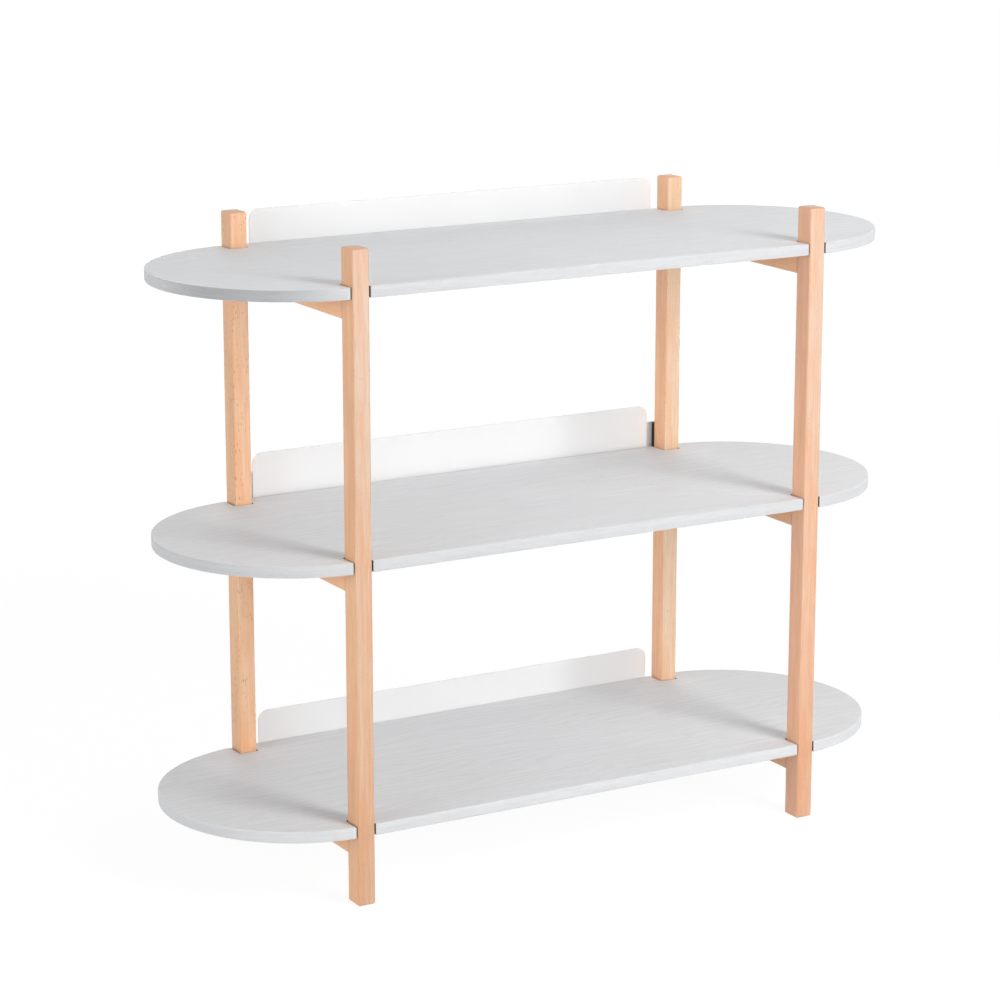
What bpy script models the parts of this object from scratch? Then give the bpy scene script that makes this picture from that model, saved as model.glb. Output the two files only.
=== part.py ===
"""Low open bookcase.

Two ladder frames of beech posts and rails carry three shelves with half-round ends. The shelves
are notched round the posts and bolted to the rails from below. A sheet upstand closes each shelf's rear
edge, and the middle one hangs on a flat steel brace that ties the rear posts together.

Metres, +Z up, +X along the shelves, +Y to the back. The origin is under the middle of the bounding box.
"""
import math

import bmesh
import bpy
from mathutils import Matrix, Vector

COLLECTION = "bookcase"

# Posts
POST_HEIGHT = 0.900
POST_WIDTH = 0.026
POST_DEPTH = 0.032
POST_ROUND = 0.003
POST_SPACING = 0.722

# Shelves
SHELF_LENGTH = 1.120
SHELF_DEPTH = 0.400
BOARD = 0.016
BOTTOM_SHELF_TOP = 0.114
TOP_SHELF_DROP = 0.050
SHELF_EASE = 0.0012
NOTCH_SIDE_GAP = 0.0015
NOTCH_BACK_GAP = 0.0015
NOTCH_ROUND = 0.003

# Rails, with a round-edged tenon at each end
RAIL_HEIGHT = 0.030
RAIL_WIDTH = 0.024
RAIL_ROUND = 0.0015
TENON_HEIGHT = 0.022
TENON_WIDTH = 0.008
TENON_LENGTH = 0.015
TENON_ROUND = 0.0035

# Bolts from the rails up into the shelves
BOLT_DIAMETER = 0.006
BOLT_HEAD_DIAMETER = 0.010
BOLT_HEAD_HEIGHT = 0.005
BOLT_PITCH = 0.200
BOLT_ENGAGEMENT = 0.009
BOLT_SINK = 0.009
INSERT_DIAMETER = 0.009
INSERT_LENGTH = 0.011

# Back panels
PANEL_RISE = 0.048
MIDDLE_PANEL_RISE = 0.064
PANEL_THICKNESS = 0.0015
PANEL_CORNER = 0.016
PLATE_EASE = 0.0004
PANEL_END_GAP = 0.014
PANEL_SHIFT = 0.004
PANEL_SCREW_DIAMETER = 0.0035
PANEL_SCREW_HEAD = 0.007
PANEL_SCREW_HEAD_HEIGHT = 0.002
PANEL_SCREW_LENGTH = 0.018
PANEL_SCREW_INSET = 0.064
PANEL_SCREW_COUNT = 4

# Brace behind the middle panel
BRACE_HEIGHT = 0.040
BRACE_THICKNESS = 0.003
BRACE_RISE = 0.037
BRACE_END_INSET = 0.006
BRACE_CORNER = 0.004
SPACER_THICKNESS = 0.005
SPACER_MARGIN = 0.0005
BRACE_SCREW_DIAMETER = 0.005
BRACE_SCREW_HEAD = 0.0095
BRACE_SCREW_HEAD_HEIGHT = 0.0026
BRACE_SCREW_BITE = 0.022
BRACE_SCREW_PITCH = 0.022
STUD_DIAMETER = 0.004
STUD_PROUD = 0.0012
NUT_ACROSS_FLATS = 0.007
NUT_HEIGHT = 0.0032

# Clearances: SEAT between faces that touch, BORE round a pin in its hole, END_ROOM past a pin's tip
SEAT = 0.0003
BORE = 0.0003
END_ROOM = 0.001
OVERCUT = 0.004
SOCKET_SHARE = 0.5

# Facets of a full circle
ARC_SIDES = 56
CORNER_STEPS = 6
PIN_SIDES = 10
HOLE_SIDES = 10

# Worked out from the dimensions above
BRACE_FRONT = SEAT + SPACER_THICKNESS + SEAT
BACK_REACH = BRACE_FRONT + BRACE_THICKNESS + SEAT + max(BRACE_SCREW_HEAD_HEIGHT, NUT_HEIGHT + STUD_PROUD)
SHELF_Y = -BACK_REACH / 2
FRONT_Y = SHELF_Y - SHELF_DEPTH / 2
BACK_Y = SHELF_Y + SHELF_DEPTH / 2
POST_X = POST_SPACING / 2
FRONT_POST_Y = FRONT_Y + POST_DEPTH / 2
BACK_POST_Y = BACK_Y - POST_DEPTH / 2
TOP_SHELF_TOP = POST_HEIGHT - TOP_SHELF_DROP
SHELF_TOPS = {
    "bottom": BOTTOM_SHELF_TOP,
    "middle": (BOTTOM_SHELF_TOP + TOP_SHELF_TOP) / 2,
    "top": TOP_SHELF_TOP,
}
SIDES = {"left": -1, "right": 1}
PANEL_LENGTH = POST_SPACING - POST_WIDTH - 2 * PANEL_END_GAP
BRACE_LENGTH = POST_SPACING + POST_WIDTH - 2 * BRACE_END_INSET
BRACE_TOP = SHELF_TOPS["middle"] + BRACE_RISE
BRACE_MID = BRACE_TOP - BRACE_HEIGHT / 2
PANEL_SCREW_PITCH = (PANEL_LENGTH - 2 * PANEL_SCREW_INSET) / (PANEL_SCREW_COUNT - 1)
PANEL_SCREW_XS = [
    PANEL_SHIFT + (i - (PANEL_SCREW_COUNT - 1) / 2) * PANEL_SCREW_PITCH for i in range(PANEL_SCREW_COUNT)
]
BEECH = ("beech", (0.80, 0.58, 0.42), 0.55, 0.0)
GREY_VENEER = ("grey_veneer", (0.66, 0.67, 0.69), 0.6, 0.0)
WHITE_COAT = ("white_coat", (0.88, 0.88, 0.88), 0.45, 0.0)
GREY_COAT = ("grey_coat", (0.35, 0.35, 0.36), 0.5, 0.0)
BLACK_PLASTIC = ("black_plastic", (0.03, 0.03, 0.03), 0.6, 0.0)
ZINC_STEEL = ("zinc_steel", (0.62, 0.62, 0.60), 0.35, 1.0)
BRASS = ("brass", (0.72, 0.56, 0.30), 0.35, 1.0)


def clear_scene():
    for obj in list(bpy.data.objects):
        bpy.data.objects.remove(obj, do_unlink=True)


def new_collection(name):
    collection = bpy.data.collections.new(name)
    bpy.context.scene.collection.children.link(collection)
    return collection


def move_to(obj, collection):
    for old in list(obj.users_collection):
        old.objects.unlink(obj)
    collection.objects.link(obj)


def material(spec):
    name, colour, roughness, metallic = spec
    found = bpy.data.materials.get(name)
    if found:
        return found
    made = bpy.data.materials.new(name)
    made.use_nodes = True
    shader = made.node_tree.nodes["Principled BSDF"]
    shader.inputs["Base Color"].default_value = (*colour, 1.0)
    shader.inputs["Roughness"].default_value = roughness
    shader.inputs["Metallic"].default_value = metallic
    return made


def finish(obj, name, spec):
    """Names the piece, files it with the bookcase and gives it its material."""
    obj.name = name
    obj.data.name = name
    obj.data.materials.clear()
    obj.data.materials.append(material(spec))
    move_to(obj, PARTS)
    return obj


def apply_scale(obj):
    obj.data.transform(Matrix.Diagonal((*obj.scale, 1.0)))
    obj.scale = (1.0, 1.0, 1.0)


def block(size, centre):
    bpy.ops.mesh.primitive_cube_add(size=1.0, location=centre)
    obj = bpy.context.object
    obj.scale = size
    apply_scale(obj)
    return obj


def rod(diameter, length, centre, axis="Z", sides=PIN_SIDES):
    turn = {"X": (0.0, math.pi / 2, 0.0), "Y": (math.pi / 2, 0.0, 0.0), "Z": (0.0, 0.0, 0.0)}[axis]
    bpy.ops.mesh.primitive_cylinder_add(
        vertices=sides, radius=diameter / 2, depth=length, location=centre, rotation=turn
    )
    return bpy.context.object


def shade(mesh, angle):
    """Smooth shading that keeps every edge sharper than the angle, in degrees."""
    mesh.shade_smooth()
    mesh.set_sharp_from_angle(angle=math.radians(angle))


def round_edges(obj, width, steps):
    bevel = obj.modifiers.new("Rounded edges", "BEVEL")
    bevel.width = width
    bevel.segments = steps
    bevel.limit_method = "ANGLE"
    bevel.angle_limit = math.radians(40)
    return obj


def round_edges_along(obj, axis, width, steps):
    """Rounds only the edges of a block that run along one axis, 0 to 2."""
    bevel = round_edges(obj, width, steps).modifiers["Rounded edges"]
    bevel.limit_method = "WEIGHT"
    weights = obj.data.attributes.new("bevel_weight_edge", "FLOAT", "EDGE")
    for edge in obj.data.edges:
        start, end = (obj.data.vertices[i].co for i in edge.vertices)
        across = max(abs((start - end)[other]) for other in range(3) if other != axis)
        weights.data[edge.index].value = 1.0 if across < 0.00001 else 0.0
    return obj


def evaluated_mesh(obj):
    """The object's mesh with its modifiers, in world space, as a new mesh."""
    bpy.context.view_layer.update()
    graph = bpy.context.evaluated_depsgraph_get()
    mesh = bpy.data.meshes.new_from_object(obj.evaluated_get(graph))
    mesh.transform(obj.matrix_world)
    return mesh


def merged(objects, name):
    """One object holding every given object's evaluated shape, side by side; the originals go."""
    whole = bmesh.new()
    for obj in objects:
        mesh = evaluated_mesh(obj)
        whole.from_mesh(mesh)
        bpy.data.meshes.remove(mesh)
        bpy.data.objects.remove(obj, do_unlink=True)
    mesh = bpy.data.meshes.new(name)
    whole.to_mesh(mesh)
    whole.free()
    obj = bpy.data.objects.new(name, mesh)
    bpy.context.scene.collection.objects.link(obj)
    return obj


def combine(obj, tools, name, operation):
    """A Boolean with the tools, which are kept, hidden from renders, in their own collection."""
    tool = merged(tools, name)
    move_to(tool, CUTTERS)
    tool.hide_render = True
    tool.display_type = "WIRE"
    boolean = obj.modifiers.new(name, "BOOLEAN")
    boolean.operation = operation
    boolean.solver = "EXACT"
    boolean.object = tool
    return obj


def cut(obj, cutters, name):
    return combine(obj, cutters, name, "DIFFERENCE")


def join(obj, additions, name):
    return combine(obj, additions, name, "UNION")


def arc(centre, radius, start, end, steps):
    """Points of an arc in the XY plane, both ends included; angles in degrees."""
    angles = [math.radians(start + (end - start) * i / steps) for i in range(steps + 1)]
    return [(centre[0] + radius * math.cos(a), centre[1] + radius * math.sin(a)) for a in angles]


def plate(outline, thickness, ease=0.0):
    """A flat plate in the XY plane, centred on Z 0, from a closed outline drawn anticlockwise."""
    curve = bpy.data.curves.new("Outline", "CURVE")
    curve.dimensions = "2D"
    curve.fill_mode = "BOTH"
    curve.extrude = thickness / 2 - ease
    curve.bevel_depth = ease
    curve.bevel_resolution = 0
    curve.offset = -ease
    spline = curve.splines.new("POLY")
    spline.points.add(len(outline) - 1)
    for point, (x, y) in zip(spline.points, outline):
        point.co = (x, y, 0.0, 1.0)
    spline.use_cyclic_u = True
    guide = bpy.data.objects.new("Outline", curve)
    bpy.context.scene.collection.objects.link(guide)
    mesh = evaluated_mesh(guide)
    bpy.data.objects.remove(guide, do_unlink=True)
    welded = bmesh.new()
    welded.from_mesh(mesh)
    bmesh.ops.remove_doubles(welded, verts=welded.verts, dist=0.000005)
    bmesh.ops.dissolve_limit(
        welded, angle_limit=math.radians(0.2), verts=welded.verts, edges=welded.edges
    )
    welded.to_mesh(mesh)
    welded.free()
    shade(mesh, 30)
    obj = bpy.data.objects.new("Plate", mesh)
    bpy.context.scene.collection.objects.link(obj)
    return obj


def rounded_rectangle(length, height, corner):
    """Outline round the origin, anticlockwise from its lower right corner."""
    x, y = length / 2 - corner, height / 2 - corner
    corners = [((x, -y), -90), ((x, y), 0), ((-x, y), 90), ((-x, -y), 180)]
    points = []
    for centre, start in corners:
        points += arc(centre, corner, start, start + 90, CORNER_STEPS)
    return points


def turned(profile, sides=PIN_SIDES, ring=False):
    """A solid of revolution about Z. The profile runs down its outer side, and a ring's closes on itself."""
    mesh = bpy.data.meshes.new("Profile")
    edges = [(i, i + 1) for i in range(len(profile) - 1)]
    if ring:
        edges.append((len(profile) - 1, 0))
    mesh.from_pydata([(x, 0.0, z) for x, z in profile], edges, [])
    obj = bpy.data.objects.new("Turned", mesh)
    bpy.context.scene.collection.objects.link(obj)
    screw = obj.modifiers.new("Turn", "SCREW")
    screw.steps = sides
    screw.render_steps = sides
    screw.use_merge_vertices = True
    screw.merge_threshold = 0.00001
    screw.use_normal_calculate = False
    return obj


def headed_pin(shank, length, head, head_height, is_button):
    """A bolt or screw with a hex socket. Its head stands on Z 0 and its shank runs down from there."""
    crown = head_height * (0.35 if is_button else 0.85)
    crown_radius = head / 2 * (0.72 if is_button else 0.92)
    tip = shank * 0.2
    profile = [
        (0.0, head_height),
        (crown_radius, head_height),
        (head / 2, crown),
        (head / 2, 0.0),
        (shank / 2, 0.0),
        (shank / 2, tip - length),
        (shank / 2 - tip, -length),
        (0.0, -length),
    ]
    pin = turned(profile)
    socket_depth = head_height * 0.6
    socket = rod(
        head * SOCKET_SHARE, 2 * socket_depth, (0.0, 0.0, head_height), sides=6
    )
    cut(pin, [socket], "Hex socket")
    return pin


def copies(prototype, places, spec):
    """Equal pieces that share the prototype's finished mesh, one object at each named placement."""
    mesh = evaluated_mesh(prototype)
    shade(mesh, 50)
    mesh.materials.clear()
    mesh.materials.append(material(spec))
    for modifier in prototype.modifiers:
        if modifier.type == "BOOLEAN":
            bpy.data.objects.remove(modifier.object, do_unlink=True)
    bpy.data.objects.remove(prototype, do_unlink=True)
    for name, place in places.items():
        piece = bpy.data.objects.new(name, mesh)
        piece.matrix_world = place
        PARTS.objects.link(piece)


def facing(point, direction):
    """A placement that turns local +Z to the given direction."""
    turn = Vector(direction).to_track_quat("Z", "Y").to_matrix().to_4x4()
    return Matrix.Translation(point) @ turn


def rail_mid_z(level):
    return SHELF_TOPS[level] - BOARD - SEAT - RAIL_HEIGHT / 2


def bolt_spots():
    """Rail, end, place across and place along the rail of each bolt that holds a shelf to a rail."""
    return [
        ((side, level), end, sign * POST_X, SHELF_Y + way * BOLT_PITCH / 2)
        for level in SHELF_TOPS
        for side, sign in SIDES.items()
        for end, way in (("front", -1), ("rear", 1))
    ]


def brace_screw_heights():
    return {name: BRACE_MID + s * BRACE_SCREW_PITCH / 2 for name, s in (("lower", -1), ("upper", 1))}


def brace_screw_length():
    return SEAT + BRACE_THICKNESS + BRACE_FRONT + BRACE_SCREW_BITE


def drill_y(diameter, x, z, start, end):
    """A cutter for a hole along Y from start to end, wider than its pin by the bore clearance."""
    return rod(diameter + 2 * BORE, abs(end - start), (x, (start + end) / 2, z), "Y", HOLE_SIDES)


def tenon_bar(x, z, reach, room):
    """A bar through a rail's middle, with the tenons as its ends, and room added all round it."""
    size = (TENON_WIDTH + 2 * room, reach, TENON_HEIGHT + 2 * room)
    return round_edges_along(block(size, (x, SHELF_Y, z)), 1, TENON_ROUND + room, 3)


def make_post(name, x, y):
    post = block((POST_WIDTH, POST_DEPTH, POST_HEIGHT), (x, y, POST_HEIGHT / 2))
    round_edges(post, POST_ROUND, 3)
    reach = SHELF_DEPTH - 2 * POST_DEPTH + 2 * (TENON_LENGTH + END_ROOM)
    tools = [tenon_bar(x, rail_mid_z(level), reach, BORE) for level in SHELF_TOPS]
    if y > SHELF_Y:
        bottom = BACK_Y - BRACE_SCREW_BITE - END_ROOM
        tools += [
            drill_y(BRACE_SCREW_DIAMETER, x, z, bottom, BACK_Y + OVERCUT)
            for z in brace_screw_heights().values()
        ]
    cut(post, tools, name + "_sockets")
    return finish(post, name, BEECH)


def make_posts():
    for side, sign in SIDES.items():
        make_post(f"front_{side}_post", sign * POST_X, FRONT_POST_Y)
        make_post(f"rear_{side}_post", sign * POST_X, BACK_POST_Y)


def bolt_clearance(x, y, level):
    """A stepped cutter for one bolt: its head's sink from below and its shank's hole on up."""
    bottom = rail_mid_z(level) - RAIL_HEIGHT / 2
    head, shank = BOLT_HEAD_DIAMETER / 2 + 2 * BORE, BOLT_DIAMETER / 2 + BORE
    top, step, foot = RAIL_HEIGHT + OVERCUT, BOLT_SINK, -OVERCUT
    cutter = turned([(0.0, top), (shank, top), (shank, step), (head, step), (head, foot), (0.0, foot)])
    cutter.location = (x, y, bottom)
    return cutter


def make_rail(side, level):
    name = f"{side}_{level}_rail"
    x, z = SIDES[side] * POST_X, rail_mid_z(level)
    length = SHELF_DEPTH - 2 * POST_DEPTH - 2 * SEAT
    rail = block((RAIL_WIDTH, length, RAIL_HEIGHT), (x, SHELF_Y, z))
    round_edges_along(rail, 1, RAIL_ROUND, 2)
    reach = SHELF_DEPTH - 2 * POST_DEPTH + 2 * TENON_LENGTH
    join(rail, [tenon_bar(x, z, reach, 0.0)], name + "_tenons")
    ys = [y for rail_key, _, _, y in bolt_spots() if rail_key == (side, level)]
    cut(rail, [bolt_clearance(x, y, level) for y in ys], name + "_bolt_holes")
    return finish(rail, name, BEECH)


def make_rails():
    for side in SIDES:
        for level in SHELF_TOPS:
            make_rail(side, level)


def shelf_outline():
    radius = SHELF_DEPTH / 2
    centre = SHELF_LENGTH / 2 - radius
    steps = ARC_SIDES // 2
    return arc((centre, 0.0), radius, -90, 90, steps) + arc((-centre, 0.0), radius, 90, 270, steps)


def notch_cutter(x, y, z):
    """Clears one post's sides and inner face, and runs out past the shelf's edge."""
    outward = -1 if y < SHELF_Y else 1
    inner = y - outward * (POST_DEPTH / 2 + NOTCH_BACK_GAP)
    outer = y + outward * (POST_DEPTH / 2 + 3 * OVERCUT)
    size = (POST_WIDTH + 2 * NOTCH_SIDE_GAP, abs(outer - inner), 3 * BOARD)
    return round_edges_along(block(size, (x, (inner + outer) / 2, z)), 2, NOTCH_ROUND, 3)


def make_shelf(level):
    name = f"{level}_shelf"
    top = SHELF_TOPS[level]
    underside, middle = top - BOARD, top - BOARD / 2
    shelf = plate(shelf_outline(), BOARD)
    shelf.location = (0.0, SHELF_Y, middle)
    notches = [
        notch_cutter(sign * POST_X, y, middle)
        for sign in SIDES.values()
        for y in (FRONT_POST_Y, BACK_POST_Y)
    ]
    cut(shelf, notches, name + "_notches")
    round_edges(shelf, SHELF_EASE, 2)
    depth = INSERT_LENGTH + END_ROOM + OVERCUT
    diameter = INSERT_DIAMETER + 2 * BORE
    tools = [
        rod(diameter, depth, (x, y, underside - OVERCUT + depth / 2), "Z", HOLE_SIDES)
        for (_, where), _, x, y in bolt_spots()
        if where == level
    ]
    if level != "middle":
        tools += [
            drill_y(PANEL_SCREW_DIAMETER, x, middle, BACK_Y - PANEL_SCREW_LENGTH, BACK_Y + OVERCUT)
            for x in PANEL_SCREW_XS
        ]
    cut(shelf, tools, name + "_holes")
    return finish(shelf, name, GREY_VENEER)


def make_inserts():
    outer, inner = INSERT_DIAMETER / 2, BOLT_DIAMETER / 2 + BORE
    section = [(inner, INSERT_LENGTH), (outer, INSERT_LENGTH), (outer, 0.0), (inner, 0.0)]
    places = {
        f"{side}_{level}_{end}_insert": Matrix.Translation((x, y, SHELF_TOPS[level] - BOARD))
        for (side, level), end, x, y in bolt_spots()
    }
    copies(turned(section, ring=True), places, BRASS)


def make_bolts():
    length = RAIL_HEIGHT - BOLT_SINK + 2 * SEAT + BOLT_ENGAGEMENT
    bolt = headed_pin(BOLT_DIAMETER, length, BOLT_HEAD_DIAMETER, BOLT_HEAD_HEIGHT, False)
    seat = BOLT_SINK - RAIL_HEIGHT / 2 - SEAT
    places = {
        f"{side}_{level}_{end}_bolt": facing((x, y, rail_mid_z(level) + seat), (0, 0, -1))
        for (side, level), end, x, y in bolt_spots()
    }
    copies(bolt, places, ZINC_STEEL)


def upright_plate(length, height, corner, thickness, middle, front, bottom):
    """A rounded plate standing along X round middle, its front face at Y front, its lower edge at Z bottom."""
    sheet = plate(rounded_rectangle(length, height, corner), thickness, PLATE_EASE)
    sheet.rotation_euler = (math.pi / 2, 0.0, 0.0)
    sheet.location = (middle, front + thickness / 2, bottom + height / 2)
    bpy.context.view_layer.update()
    return sheet


def panel_sheet(rise, front, bottom):
    return upright_plate(PANEL_LENGTH, BOARD + rise, PANEL_CORNER, PANEL_THICKNESS, PANEL_SHIFT, front, bottom)


def make_edge_panel(level):
    """A panel screwed flat to its shelf's rear edge, level with the board's underside."""
    name = f"{level}_back_panel"
    bottom, front = SHELF_TOPS[level] - BOARD, BACK_Y + SEAT
    sheet = panel_sheet(PANEL_RISE, front, bottom)
    ends = front - OVERCUT, front + PANEL_THICKNESS + OVERCUT
    holes = [drill_y(PANEL_SCREW_DIAMETER, x, bottom + BOARD / 2, *ends) for x in PANEL_SCREW_XS]
    cut(sheet, holes, name + "_holes")
    return finish(sheet, name, WHITE_COAT)


def make_middle_panel():
    """A taller sheet that stands clear of its shelf, with weld studs that pass through the brace."""
    name = "middle_back_panel"
    front = BACK_Y + BRACE_FRONT - SEAT - PANEL_THICKNESS
    sheet = panel_sheet(MIDDLE_PANEL_RISE, front, SHELF_TOPS["middle"] - BOARD)
    root = front + PANEL_THICKNESS / 2
    end = BACK_Y + BRACE_FRONT + BRACE_THICKNESS + SEAT + NUT_HEIGHT + STUD_PROUD
    centre = (root + end) / 2
    studs = [rod(STUD_DIAMETER, end - root, (x, centre, BRACE_MID), "Y") for x in PANEL_SCREW_XS]
    join(sheet, studs, name + "_studs")
    return finish(sheet, name, WHITE_COAT)


def make_panel_screws():
    length = PANEL_SCREW_LENGTH - END_ROOM
    screw = headed_pin(PANEL_SCREW_DIAMETER, length, PANEL_SCREW_HEAD, PANEL_SCREW_HEAD_HEIGHT, True)
    y = BACK_Y + 2 * SEAT + PANEL_THICKNESS
    places = {
        f"{level}_panel_screw_{i + 1}": facing((x, y, SHELF_TOPS[level] - BOARD / 2), (0, 1, 0))
        for level in ("bottom", "top")
        for i, x in enumerate(PANEL_SCREW_XS)
    }
    copies(screw, places, ZINC_STEEL)


def make_brace():
    front, bottom = BACK_Y + BRACE_FRONT, BRACE_TOP - BRACE_HEIGHT
    bar = upright_plate(BRACE_LENGTH, BRACE_HEIGHT, BRACE_CORNER, BRACE_THICKNESS, 0.0, front, bottom)
    ends = front - OVERCUT, front + BRACE_THICKNESS + OVERCUT
    holes = [
        drill_y(BRACE_SCREW_DIAMETER, sign * POST_X, z, *ends)
        for sign in SIDES.values()
        for z in brace_screw_heights().values()
    ]
    holes += [drill_y(STUD_DIAMETER, x, BRACE_MID, *ends) for x in PANEL_SCREW_XS]
    cut(bar, holes, "rear_brace_holes")
    return finish(bar, "rear_brace", GREY_COAT)


def make_spacers():
    """One block behind each rear post, flush with the post's inner face."""
    width = POST_WIDTH - BRACE_END_INSET
    height = BRACE_HEIGHT - 2 * SPACER_MARGIN
    front = BACK_Y + SEAT
    ends = front - OVERCUT, front + SPACER_THICKNESS + OVERCUT
    for side, sign in SIDES.items():
        name = f"{side}_brace_spacer"
        x = sign * (POST_X - POST_WIDTH / 2 + width / 2)
        spacer = block((width, SPACER_THICKNESS, height), (x, front + SPACER_THICKNESS / 2, BRACE_MID))
        holes = [
            drill_y(BRACE_SCREW_DIAMETER, sign * POST_X, z, *ends) for z in brace_screw_heights().values()
        ]
        cut(spacer, holes, name + "_holes")
        finish(spacer, name, BLACK_PLASTIC)


def make_brace_screws():
    length = brace_screw_length()
    screw = headed_pin(BRACE_SCREW_DIAMETER, length, BRACE_SCREW_HEAD, BRACE_SCREW_HEAD_HEIGHT, True)
    y = BACK_Y + BRACE_FRONT + BRACE_THICKNESS + SEAT
    places = {
        f"{side}_brace_screw_{where}": facing((sign * POST_X, y, z), (0, 1, 0))
        for side, sign in SIDES.items()
        for where, z in brace_screw_heights().items()
    }
    copies(screw, places, ZINC_STEEL)


def make_panel_nuts():
    across_corners = NUT_ACROSS_FLATS / math.cos(math.pi / 6)
    nut = rod(across_corners, NUT_HEIGHT, (0.0, 0.0, NUT_HEIGHT / 2), sides=6)
    bore = rod(STUD_DIAMETER + 2 * BORE, NUT_HEIGHT + OVERCUT, (0.0, 0.0, NUT_HEIGHT / 2))
    cut(nut, [bore], "nut_bore")
    y = BACK_Y + BRACE_FRONT + BRACE_THICKNESS + SEAT
    places = {
        f"panel_nut_{i + 1}": facing((x, y, BRACE_MID), (0, 1, 0)) for i, x in enumerate(PANEL_SCREW_XS)
    }
    copies(nut, places, ZINC_STEEL)


clear_scene()
PARTS = new_collection(COLLECTION)
CUTTERS = new_collection("cutters")

make_posts()
make_rails()
for shelf_level in SHELF_TOPS:
    make_shelf(shelf_level)
make_inserts()
make_bolts()
make_edge_panel("bottom")
make_middle_panel()
make_edge_panel("top")
make_panel_screws()
make_brace()
make_spacers()
make_brace_screws()
make_panel_nuts()
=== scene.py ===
"""Low open bookcase: round-ended grey shelves on slim beech posts, with white upstands at the back."""
import math

import bmesh
import bpy
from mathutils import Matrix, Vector


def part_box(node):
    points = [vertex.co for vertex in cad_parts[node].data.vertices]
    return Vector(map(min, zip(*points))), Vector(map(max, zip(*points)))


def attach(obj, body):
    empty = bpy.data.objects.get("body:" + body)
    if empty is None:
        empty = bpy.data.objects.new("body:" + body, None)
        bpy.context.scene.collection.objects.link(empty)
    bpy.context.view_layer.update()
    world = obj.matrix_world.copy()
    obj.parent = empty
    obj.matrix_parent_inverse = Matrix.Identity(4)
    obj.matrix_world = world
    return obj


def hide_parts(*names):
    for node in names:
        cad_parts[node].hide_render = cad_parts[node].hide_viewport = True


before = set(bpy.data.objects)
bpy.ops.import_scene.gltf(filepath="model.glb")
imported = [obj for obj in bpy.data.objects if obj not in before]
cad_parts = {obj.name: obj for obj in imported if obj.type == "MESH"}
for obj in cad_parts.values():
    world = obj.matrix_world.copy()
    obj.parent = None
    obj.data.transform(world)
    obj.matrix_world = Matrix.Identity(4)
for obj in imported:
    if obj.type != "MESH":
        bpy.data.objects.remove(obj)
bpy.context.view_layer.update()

BOX = {name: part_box(name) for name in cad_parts}
LEVELS = ("bottom", "middle", "top")
SIDES = ("left", "right")
POSTS = [f"{end}_{side}_post" for end in ("front", "rear") for side in SIDES]
RAILS = [f"{side}_{level}_rail" for side in SIDES for level in LEVELS]
PANELS = [f"{level}_back_panel" for level in LEVELS]

# Sizes in metres that the frame's boxes don't give
NOTCH_SIDE_GAP = 0.0015
NOTCH_BACK_GAP = 0.0015
NOTCH_ROUND = 0.003
SHELF_EASE = 0.0012
POST_ROUND = 0.003
TENON_WIDTH = 0.008
TENON_HEIGHT = 0.022
TENON_ROUND = 0.0035
FIT = 0.0003
HOLE_END_ROOM = 0.001
OVERCUT = 0.004
NOTCH_FACE_REACH = 0.01
BOLT_SHANK = 0.006
PANEL_SCREW_SHANK = 0.0035
BRACE_SCREW_SHANK = 0.005
BOLT_HEAD_HEIGHT = 0.005
PANEL_SCREW_HEAD_HEIGHT = 0.002
BRACE_SCREW_HEAD_HEIGHT = 0.0026
STUD_HOLE = 0.0046
NUT_CHAMFER = 0.0003

# Lengths too small to see: one to compare with, and one under which points are merged
TINY = 0.00001
MERGED = 0.00005

# How finely round shapes are stepped
END_STEPS = 50
EASE_STEPS = 4
ARRIS_STEPS = 6
NOTCH_STEPS = 6
DOME_STEPS = 4
ROUND_SIDES = 40
HOLE_SIDES = 24

# The shapes of the two kinds of head, as shares of the head's height and radius
BUTTON_HEAD = {"rim_height": 0.35, "crown_radius": 0.72}
STRAIGHT_HEAD = {"rim_height": 0.85, "crown_radius": 0.92}
SOCKET_DEPTH = 0.6
SOCKET_RADIUS = 0.5
TIP_HEIGHT = 0.4
TIP_RADIUS = 0.6

# How faces and edges are told apart, and at which angle in degrees shading turns sharp
SQUARELY = 0.9
RIM_SLOPE = 0.75
SHARP_EDGE = 60
FLAT_ANGLE = 0.2
BOARD_SMOOTHING = 35
PIN_SMOOTHING = 40

# The photograph's camera: where it stands, how it turns in radians, and its lens and sensor in millimetres
CAMERA_PLACE = (-2.2165, -3.7984, 1.5463)
CAMERA_YAW = 0.52135
CAMERA_PITCH = 0.23805
CAMERA_LENS = 113.78
CAMERA_SENSOR = 36.0


def deselect_all():
    if bpy.context.object and bpy.context.object.mode != "OBJECT":
        bpy.ops.object.mode_set(mode="OBJECT")
    bpy.ops.object.select_all(action="DESELECT")


def only(obj):
    deselect_all()
    obj.select_set(True)
    bpy.context.view_layer.objects.active = obj


def settle(obj):
    """Puts the object's place, turn and size into its mesh."""
    only(obj)
    bpy.ops.object.transform_apply(location=True, rotation=True, scale=True)
    return obj


def block(name, low, high):
    low, high = Vector(low), Vector(high)
    deselect_all()
    bpy.ops.mesh.primitive_cube_add(size=1.0, location=(low + high) / 2)
    obj = bpy.context.object
    obj.name = name
    obj.scale = high - low
    return settle(obj)


def pick(obj, kind, wanted):
    """Enters edit mode with only the edges or faces that pass the test selected."""
    only(obj)
    bpy.ops.object.mode_set(mode="EDIT")
    bpy.ops.mesh.select_mode(type=kind)
    bpy.ops.mesh.select_all(action="DESELECT")
    mesh = bmesh.from_edit_mesh(obj.data)
    mesh.normal_update()
    parts = mesh.edges if kind == "EDGE" else mesh.faces
    for part in parts:
        part.select_set(wanted(part))
    mesh.select_flush_mode()
    bmesh.update_edit_mesh(obj.data)


def leave_edit():
    bpy.ops.object.mode_set(mode="OBJECT")


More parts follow.
